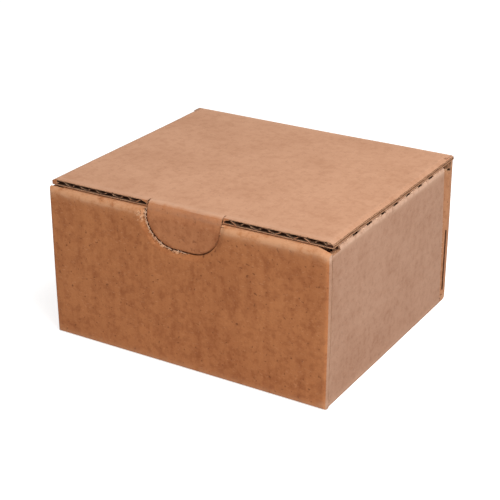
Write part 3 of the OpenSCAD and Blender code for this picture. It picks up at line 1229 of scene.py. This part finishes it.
class Fibres:
    """Torn paper fibres along edges, grown by one Geometry Nodes tree."""

    def __init__(self, warp: Warp) -> None:
        """Keeps the unevenness that the fibres follow, and builds the tree once."""
        self.warp = warp
        self.tree = self._tree()

    @staticmethod
    def _tree() -> bpy.types.NodeTree:
        """Slivers along each line of a mesh, tapering outwards and each turned by chance."""
        tree = bpy.data.node_groups.new("torn_fibres", "GeometryNodeTree")
        tree.interface.new_socket("Geometry", in_out="INPUT", socket_type="NodeSocketGeometry")
        for label in ("Spacing", "Length", "Width", "Spread"):
            tree.interface.new_socket(label, in_out="INPUT", socket_type="NodeSocketFloat")
        tree.interface.new_socket("Seed", in_out="INPUT", socket_type="NodeSocketInt")
        tree.interface.new_socket("Material", in_out="INPUT", socket_type="NodeSocketMaterial")
        tree.interface.new_socket("Geometry", in_out="OUTPUT", socket_type="NodeSocketGeometry")
        bench = Bench(tree)
        given = bench.add("NodeGroupInput").outputs
        lines = bench.add("GeometryNodeMeshToCurve", {"Mesh": given["Geometry"]}).outputs[0]
        even = bench.add("GeometryNodeResampleCurve",
                         {"Curve": lines, "Length": given["Spacing"]}, mode="LENGTH").outputs[0]
        dots = bench.add("GeometryNodeCurveToPoints", {"Curve": even},
                         mode="EVALUATED").outputs["Points"]
        out = bench.add("GeometryNodeInputNamedAttribute", {"Name": "out"},
                        data_type="FLOAT_VECTOR").outputs["Attribute"]
        chance = bench.add("FunctionNodeRandomValue",
                           {"Min": (-1, -1, -1), "Max": (1, 1, 1), "Seed": given["Seed"]},
                           data_type="FLOAT_VECTOR").outputs["Value"]
        astray = bench.add("ShaderNodeVectorMath", {0: chance, "Scale": given["Spread"]},
                           operation="SCALE").outputs[0]
        way = bench.add("ShaderNodeVectorMath", {0: out, 1: astray}, operation="ADD").outputs[0]
        turn = bench.add("FunctionNodeAlignRotationToVector", {"Vector": way}, axis="Z",
                         pivot_axis="AUTO").outputs["Rotation"]
        sliver = bench.add("GeometryNodeMeshCone",
                           {"Vertices": 5, "Radius Top": bench.times(given["Width"], 0.15),
                            "Radius Bottom": given["Width"], "Depth": given["Length"]}
                           ).outputs["Mesh"]
        size = bench.add("FunctionNodeRandomValue",
                         {"Min": (0.5, 0.12, 0.3), "Max": (1.4, 0.3, 1.3),
                          "Seed": bench.maths("ADD", given["Seed"], 7)},
                         data_type="FLOAT_VECTOR").outputs["Value"]
        grown = bench.add("GeometryNodeInstanceOnPoints",
                          {"Points": dots, "Instance": sliver, "Rotation": turn,
                           "Scale": size}).outputs["Instances"]
        real = bench.add("GeometryNodeRealizeInstances", {"Geometry": grown}).outputs[0]
        dressed = bench.add("GeometryNodeSetMaterial",
                            {"Geometry": real, "Material": given["Material"]}).outputs[0]
        bench.add("NodeGroupOutput", {0: dressed})
        return tree

    def grow(self, growth: Growth, box: Box, material: bpy.types.Material) -> bpy.types.Object:
        """Grows fibres along tears of the tray.

        Args:
            growth: Where the fibres stand and what they are like.
            box: The box's limits.
            material: The fibres' material.

        Returns:
            The finished piece.
        """
        name = growth.name
        made = bmesh.new()
        out = made.verts.layers.float_vector.new("out")
        for tear in growth.tears(box):
            row = []
            for place in tear.places():
                vert = made.verts.new(self.warp.moved(place) * MM)
                vert[out] = Vector(tear.out).normalized()
                row.append(vert)
            for first, second in zip(row, row[1:]):
                made.edges.new((first, second))
        mesh = bpy.data.meshes.new(name + "_lines")
        made.to_mesh(mesh)
        made.free()
        piece = bpy.data.objects.new(name, mesh)
        bpy.context.scene.collection.objects.link(piece)
        grower = piece.modifiers.new("fibres", "NODES")
        grower.node_group = self.tree
        values = {"Spacing": growth.spacing * MM, "Length": growth.length * MM,
                  "Width": growth.width * MM, "Spread": growth.spread, "Seed": growth.seed,
                  "Material": material}
        for socket in self.tree.interface.items_tree:
            if socket.in_out == "INPUT" and socket.name in values:
                grower[socket.identifier] = values[socket.name]
        depsgraph = bpy.context.evaluated_depsgraph_get()
        grown = bpy.data.meshes.new_from_object(piece.evaluated_get(depsgraph))
        grown.name = name
        grown.materials.clear()
        grown.materials.append(material)
        for face in grown.polygons:
            face.material_index = 0
        for vert in grown.vertices:
            vert.co = self.warp.kept(vert.co / MM) * MM
        piece.modifiers.remove(grower)
        piece.data = grown
        bpy.data.meshes.remove(mesh)
        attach(piece, "tray")
        LOG.info("%s: %d faces", name, len(grown.polygons))
        return piece


def rim_tears(box: Box) -> list[Tear]:
    """Lines round the left and lower rim of the thumb notch."""
    y = box.front + 0.75
    half, radius = box.notch_width / 2, box.notch_radius
    centre_x, centre_z = half - radius, box.top - box.notch_depth + radius
    turns = [math.radians(a) for a in range(-180, -94, 12)]
    left = [(-centre_x + radius * math.cos(a), y, centre_z + radius * math.sin(a))
            for a in turns]
    tears = [Tear(first, second, (-math.cos(turn), -0.7, -math.sin(turn)))
             for first, second, turn in zip(left, left[1:], turns)]
    low = centre_z - radius
    tears.append(Tear((-centre_x, y, low), (centre_x * 0.4, y, low), (0, -0.8, 1)))
    tears.append(Tear((-half, y + 0.3, box.top - 0.8), (-half, y, centre_z), (1, -0.2, 0.2)))
    return tears


def tuft_tears(box: Box) -> list[Tear]:
    """Short lines where the paper is torn up, beside the notch's upper left end."""
    x, y, z = -box.notch_width / 2, box.front + 0.7, box.top
    return [Tear((x - 1.8, y - 0.2, z - 1.6), (x - 0.7, y, z - 3.4), (-0.3, -0.5, -0.3)),
            Tear((x - 1.2, y, z - 1.3), (x - 0.6, y, z - 2.6), (-0.5, -0.4, 0.1))]


def crease_tears(box: Box) -> list[Tear]:
    """Short lines at the cuts of the side walls' perforated creases."""
    start, end = box.roll_start, box.side_head_end
    count = int((end - start) / box.cut_pitch) - 1
    mid = box.front + (start + end) / 2
    drop = 0.3 * box.board.roll_radius
    tears = []
    for side in (1, -1):
        x = side * (box.side - drop)
        for i in range(count + 1):
            y = mid + (i - count / 2) * box.cut_pitch
            half = 0.28 * box.cut_pitch
            tears.append(Tear((x, y - half, box.top - drop), (x, y + half, box.top - drop),
                              (side * 0.3, 0.7, 0.3)))
    return tears


def corner_tears(box: Box) -> list[Tear]:
    """Lines along the torn top of the left side panel, beside the front wall."""
    low = box.top - 0.9
    return [Tear((x, box.front + 3, low), (x, box.front + box.roll_start, low), (0, 0, 1))
            for x in (0.4 - box.side, 1.1 - box.side, 1.7 - box.side)]


def rear_tears(box: Box) -> list[Tear]:
    """Lines along the side panels' rear edges and over the corner flaps' bare roots."""
    tears = []
    f = box.front
    edge_inset, edge_low, edge_high = 0.35, 3, 40
    root_inset, (root_start, root_low), (root_end, root_high) = 0.9, (90.6, 30), (91.4, 38)
    for side in (1, -1):
        x = side * (box.side - edge_inset)
        tears.append(Tear((x, f + box.side_end, edge_low),
                          (x, f + box.side_head_end + 0.4, edge_high), (side * 0.1, 1, -0.3)))
        x = side * (box.rear_side - root_inset)
        tears.append(Tear((x, f + root_start, root_low), (x, f + root_end, root_high),
                          (0, 0.4, -1)))
    return tears


GROWTHS = (
    Growth("rim_fibres", rim_tears, spacing=0.42, width=0.3, spread=0.6),
    Growth("notch_tuft", tuft_tears, seed=11, length=0.8, width=0.3, spread=0.4),
    Growth("crease_fibres", crease_tears, seed=3, spacing=0.8, length=0.6, width=0.3),
    Growth("rear_fibres", rear_tears, seed=5, spacing=0.9, width=0.3),
    Growth("corner_fibres", corner_tears, seed=8, length=0.6, width=0.4, spread=0.25),
)


def tray_piece(box: Box, warp: Warp) -> BoardPiece:
    """Lays out the tray's panels and folds.

    Args:
        box: The box's limits.
        warp: The board's unevenness.

    Returns:
        The tray, ready to build.
    """
    board = box.board
    t, roll, s = board.thickness, board.roll, box.side
    f, b, top, r = box.front, box.back, box.top, board.roll_radius
    c = board.crease_radius
    flap_x = s - 2 * t - board.layer_gap
    rear = box.rear_side
    middle = [
        Panel((-s, f, 0), (s, f + t, top), Axis.Y, Axis.X, -1, Finish.FRONT),
        Panel((-s, f, top - t), (s, f + roll, top), Axis.Z, Axis.X, 1, Finish.FRONT),
        Panel((-s, f + roll - t, t), (s, f + roll, top), Axis.Y, Axis.X, 1, Finish.INSIDE),
        Panel((-rear, b - t, 0), (rear, b, top), Axis.Y, Axis.X, 1, Finish.REAR),
        Panel((-s, f + t, 0), (s, b - t, t), Axis.Z, Axis.X, -1, Finish.UNDER),
    ]
    side_end = f + box.side_end
    right = [
        Panel((s - t, f + t + 0.2, 0), (s, side_end, top), Axis.X, Axis.Z, 1, Finish.SIDE),
        Panel((s - t, f, 0), (s, f + t + 0.1, top), Axis.X, Axis.Y, 1, Finish.SIDE),
        Panel((s - roll, f + roll, top - t), (s, side_end, top), Axis.Z, Axis.X, 1,
              Finish.SIDE),
        Panel((s - roll, f + roll, t), (s - roll + t, b, top), Axis.X, Axis.Z, -1,
              Finish.INSIDE),
        Panel((flap_x, f, t), (flap_x + t, side_end, top), Axis.X, Axis.Y, 1, Finish.REAR),
        Panel((flap_x, side_end, t), (rear, b - t + 0.1, top), Axis.X, Axis.Y, 1, Finish.REAR,
              slack=1.0, facing=0.8),
        Panel((rear - t, b - t, 0), (rear, b, top), Axis.X, Axis.Y, 1, Finish.REAR),
    ]
    k = board.corner_radius
    folds = [
        Fold(Axis.X, (f + r, top - r), r, Finish.FRONT, wear_and_flute_shade=0.75),
        Fold(Axis.X, (f + roll - r, top - r), r, Finish.FRONT, wear_and_flute_shade=0.5),
        Fold(Axis.X, (f + c, c), c, Finish.FRONT, wear_and_flute_shade=0.4),
        Fold(Axis.X, (b - c, c), c, Finish.REAR, wear_and_flute_shade=0.5),
        Fold(Axis.X, (b - c, top - c), c, Finish.REAR, wear_and_flute_shade=0.3),
    ]
    right_folds = [
        Fold(Axis.Y, (s - r, top - r), r, Finish.SIDE, wear_and_flute_shade=0.8),
        Fold(Axis.Y, (s - roll + r, top - r), r, Finish.SIDE, wear_and_flute_shade=0.5),
        Fold(Axis.Y, (s - c, c), c, Finish.SIDE, wear_and_flute_shade=0.4),
        # The front's rounded corner turns from the front's darker tone to the side's paler tone as
        # it faces right: painted light and shade.
        Fold(Axis.Z, (s - k, f + k), k, Finish.FRONT, wear_and_flute_shade=0.05, beyond=Finish.SIDE,
             turned=0.84),
    ]
    return BoardPiece(
        "tray", box, warp,
        panels=middle + right + [panel.mirrored() for panel in right],
        folds=folds + right_folds + [fold.mirrored() for fold in right_folds],
    )


def lid_piece(box: Box, warp: Warp) -> BoardPiece:
    """Lays out the lid's panels and folds.

    Args:
        box: The box's limits.
        warp: The board's unevenness.

    Returns:
        The lid, ready to build.
    """
    t = box.board.thickness
    tongue_y = box.front + box.tongue_set
    room = 2.2
    middle = [
        Panel((-box.side + box.pinch, box.lid_front, box.lid_low),
              (box.side - box.pinch, box.back, box.lid_top), Axis.Z, Axis.X, 1, Finish.LID),
        Panel((-box.notch_width / 2, tongue_y, box.lid_low - 22),
              (box.notch_width / 2, tongue_y + t, box.lid_top),
              Axis.Y, Axis.X, -1, Finish.TONGUE, slack=room),
    ]
    pinched = Panel((box.side - box.pinch, box.lid_front, box.lid_low),
                    (box.side, box.back, box.lid_top), Axis.Z, Axis.X, 1, Finish.LID,
                    slack=0.35)
    folds = [
        # The tongue's fold turns from the lid's lighter tone to the tongue's darker tone: painted
        # shade.
        Fold(Axis.X, (tongue_y + t, box.lid_low), t, Finish.LID, wear_and_flute_shade=0.25,
             beyond=Finish.TONGUE, toward=Axis.Y, turned=0.72),
        Fold(Axis.X, (box.back - t, box.lid_low), t, Finish.LID, wear_and_flute_shade=0.4),
    ]
    return BoardPiece("lid", box, warp, panels=[*middle, pinched, pinched.mirrored()],
                      folds=folds, fluted=True)


@dataclass(frozen=True)
class Viewpoint:
    """The photograph's camera, in millimetres and degrees."""

    place: Point = (213.35, -360.41, 210.67)
    yaw: float = -30.926
    pitch: float = -23.905
    roll: float = 0.007
    lens: float = 94.14

    def build(self) -> None:
        """Makes the camera and sets it as the scene's."""
        yaw, pitch, roll = (math.radians(v) for v in (self.yaw, self.pitch, self.roll))
        ahead = Vector((math.sin(yaw) * math.cos(pitch), math.cos(yaw) * math.cos(pitch),
                        math.sin(pitch)))
        level = Vector((math.cos(yaw), -math.sin(yaw), 0))
        above = level.cross(ahead)
        right = math.cos(roll) * level + math.sin(roll) * above
        up = math.cos(roll) * above - math.sin(roll) * level
        data = bpy.data.cameras.new("photo_camera")
        data.lens = self.lens
        data.sensor_width = 36
        data.clip_start, data.clip_end = 0.01, 20
        camera = bpy.data.objects.new("photo_camera", data)
        matrix = Matrix((right, up, -ahead)).transposed().to_4x4()
        matrix.translation = Vector(self.place) * MM
        camera.matrix_world = matrix
        bpy.context.scene.collection.objects.link(camera)
        bpy.context.scene.camera = camera


@dataclass(frozen=True)
class Lamp:
    """A soft rectangular lamp that faces the box."""

    name: str
    place: Point
    size: float
    power: float
    aim_height: float = 0.03

    def build(self) -> None:
        """Makes the lamp."""
        data = bpy.data.lights.new(self.name, "AREA")
        data.size = self.size
        data.energy = self.power
        lamp = bpy.data.objects.new(self.name, data)
        lamp.location = self.place
        aim = Vector((0, 0, self.aim_height)) - Vector(self.place)
        lamp.rotation_mode = "QUATERNION"
        lamp.rotation_quaternion = aim.to_track_quat("-Z", "Y")
        bpy.context.scene.collection.objects.link(lamp)


@dataclass(frozen=True)
class Studio:
    """Plain pale floor, white surround and soft lamps."""

    floor_half: float = 3.0
    floor_colour: Colour = (0.86, 0.86, 0.86, 1.0)
    floor_lift: float = 0.62
    fill: float = 0.42
    lamps: tuple[Lamp, ...] = (
        Lamp("key_lamp", (0.27, -0.11, 0.46), 0.3, 1.95),
        Lamp("front_lamp", (0.42, -0.72, 0.25), 0.5, 1.0),
    )

    def build(self) -> None:
        """Makes the floor, the world and the lamps."""
        self.floor()
        self.surround()
        for lamp in self.lamps:
            lamp.build()
        bpy.context.scene.view_settings.view_transform = "Standard"

    def floor(self) -> None:
        """Makes the floor, which the camera sees a little brighter than the lamps make it."""
        mesh = bpy.data.meshes.new("floor")
        h = self.floor_half
        mesh.from_pydata([(-h, -h, 0), (h, -h, 0), (h, h, 0), (-h, h, 0)], [], [(0, 1, 2, 3)])
        made = bpy.data.materials.new("pale_floor")
        made.use_nodes = True
        made.node_tree.nodes.clear()
        bench = Bench(made.node_tree)
        seen = bench.add("ShaderNodeLightPath").outputs["Is Camera Ray"]
        matt = bench.add("ShaderNodeBsdfDiffuse", {"Color": self.floor_colour})
        glow = bench.add("ShaderNodeEmission",
                         {"Strength": bench.maths("MULTIPLY", seen, self.floor_lift)})
        both = bench.add("ShaderNodeAddShader", {0: matt.outputs[0], 1: glow.outputs[0]})
        bench.add("ShaderNodeOutputMaterial", {"Surface": both.outputs[0]})
        mesh.materials.append(made)
        plane = bpy.data.objects.new("floor", mesh)
        bpy.context.scene.collection.objects.link(plane)

    def surround(self) -> None:
        """Makes the world: white to the camera and a soft grey fill for everything else."""
        world = bpy.data.worlds.new("studio_world")
        world.use_nodes = True
        world.node_tree.nodes.clear()
        bench = Bench(world.node_tree)
        rays = bench.add("ShaderNodeLightPath").outputs
        seen = bench.maths("MAXIMUM", rays["Is Camera Ray"], rays["Is Glossy Ray"])
        strength = bench.add("ShaderNodeMapRange", {"Value": seen, "To Min": self.fill,
                                                    "To Max": 1.0}).outputs[0]
        back = bench.add("ShaderNodeBackground", {"Color": (1, 1, 1, 1), "Strength": strength})
        bench.add("ShaderNodeOutputWorld", {"Surface": back.outputs[0]})
        bpy.context.scene.world = world


def main() -> None:
    """Builds the studio and every piece of the box."""
    # Blender draws the offsets of its noise vectors from the clock unless a seed is set.
    noise.seed_set(NOISE_SEED)
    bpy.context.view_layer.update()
    Viewpoint().build()
    Studio().build()
    board = Board()
    box = Box.from_frame(board)
    warp = Warp(box)
    groups = Groups()
    materials = {finish: LOOKS[finish].material(finish.value, groups) for finish in Finish}
    tray_piece(box, warp).build(materials)
    lid_piece(box, warp).build(materials)
    LidCrease(box, warp).build(materials)
    fibres = Fibres(warp)
    for growth in GROWTHS:
        fibres.grow(growth, box, materials[Finish.TORN])
    LOG.info("size written")


if __name__ == "__main__":
    logging.basicConfig(level=logging.INFO, format="%(name)s: %(message)s")
    main()
